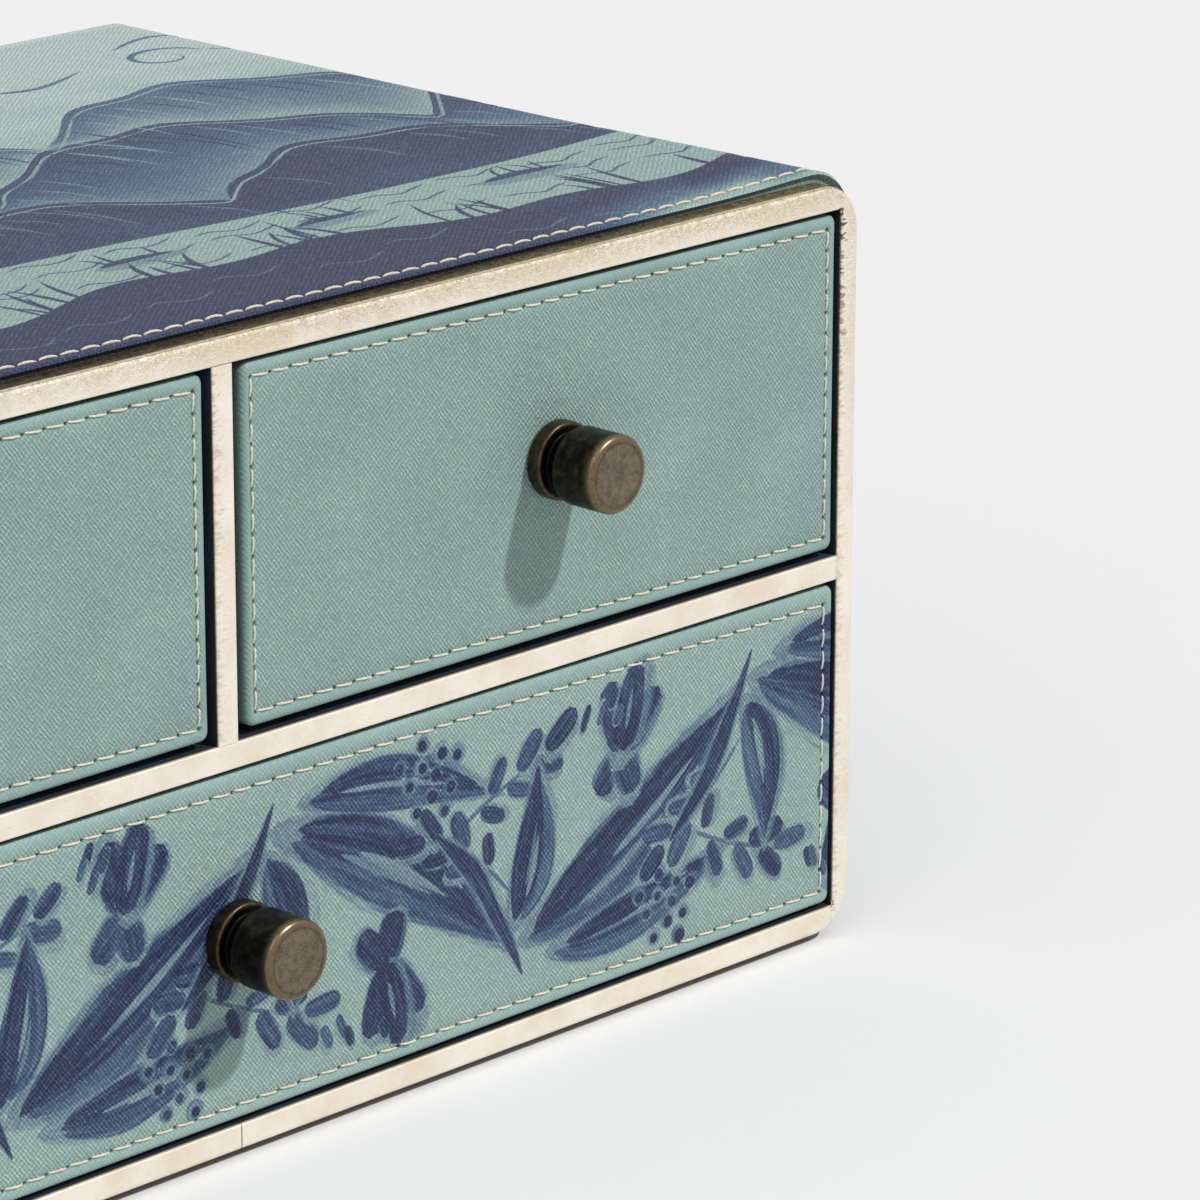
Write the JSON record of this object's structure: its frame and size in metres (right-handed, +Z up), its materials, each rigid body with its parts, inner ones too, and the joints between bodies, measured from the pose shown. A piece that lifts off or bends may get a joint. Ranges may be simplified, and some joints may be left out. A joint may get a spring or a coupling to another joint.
{
  "type": "desktop drawer box",
  "caption": "Desktop box of mini drawers: two small drawers over a wide one, leatherette faces, wrapped front frame, turned knobs and velvet-lined trays.",
  "frame": {"origin": "middle of the footprint, on the surface the box stands on, with the drawers closed and the knobs counted in", "axes": "+X to the right across the front, +Y from the front towards the back, +Z up; the drawers slide out along -Y"},
  "size_m": [0.308, 0.2046, 0.1431],
  "materials": {
    "gold_leatherette": "champagne metallic leatherette, satin",
    "cover_leatherette": "fine cross-hatched leatherette with a navy print on pale teal",
    "teal_leatherette": "fine cross-hatched leatherette, satin",
    "navy_velvet": "short velvet",
    "case_board": "raw fibreboard",
    "tray_paper": "navy paper over stiff board",
    "base_felt": "brown felt",
    "aged_brass": "antiqued dark brass with worn edges",
    "zinc_steel": "zinc plated"
  },
  "bodies": {
    "case": {"front_edge_band": "gold_leatherette", "shelf_edge_band": "gold_leatherette", "divider_edge_band": "gold_leatherette", "top_board": "case_board", "bottom_board": "case_board", "left_side_board": "case_board", "right_side_board": "case_board", "back_board": "case_board", "shelf_board": "case_board", "divider_board": "case_board", "cover_wrap": "cover_leatherette", "back_cover": "teal_leatherette", "base_pad": "base_felt", "lining_upper_left": "navy_velvet", "lining_upper_right": "navy_velvet", "lining_lower": "navy_velvet"},
    "upper_left_drawer": {"upper_left_front_board": "case_board", "upper_left_front_leather": "teal_leatherette", "upper_left_tray_left_wall": "tray_paper", "upper_left_tray_right_wall": "tray_paper", "upper_left_tray_back_wall": "tray_paper", "upper_left_tray_floor": "tray_paper", "upper_left_tray_lining": "navy_velvet", "upper_left_knob": "aged_brass", "upper_left_knob_screw": "zinc_steel"},
    "upper_right_drawer": {"upper_right_front_board": "case_board", "upper_right_front_leather": "teal_leatherette", "upper_right_tray_left_wall": "tray_paper", "upper_right_tray_right_wall": "tray_paper", "upper_right_tray_back_wall": "tray_paper", "upper_right_tray_floor": "tray_paper", "upper_right_tray_lining": "navy_velvet", "upper_right_knob": "aged_brass", "upper_right_knob_screw": "zinc_steel"},
    "lower_drawer": {"lower_front_board": "case_board", "lower_front_leather": "teal_leatherette", "lower_tray_left_wall": "tray_paper", "lower_tray_right_wall": "tray_paper", "lower_tray_back_wall": "tray_paper", "lower_tray_floor": "tray_paper", "lower_tray_lining": "navy_velvet", "lower_knob": "aged_brass", "lower_knob_screw": "zinc_steel"}
  },
  "joints": [
    {"name": "upper_left_drawer_slide", "type": "slide", "parent": "case", "child": "upper_left_drawer", "axis": [0, -1, 0], "range_m": [0, 0.145]},
    {"name": "upper_right_drawer_slide", "type": "slide", "parent": "case", "child": "upper_right_drawer", "axis": [0, -1, 0], "range_m": [0, 0.145]},
    {"name": "lower_drawer_slide", "type": "slide", "parent": "case", "child": "lower_drawer", "axis": [0, -1, 0], "range_m": [0, 0.145]}
  ]
}
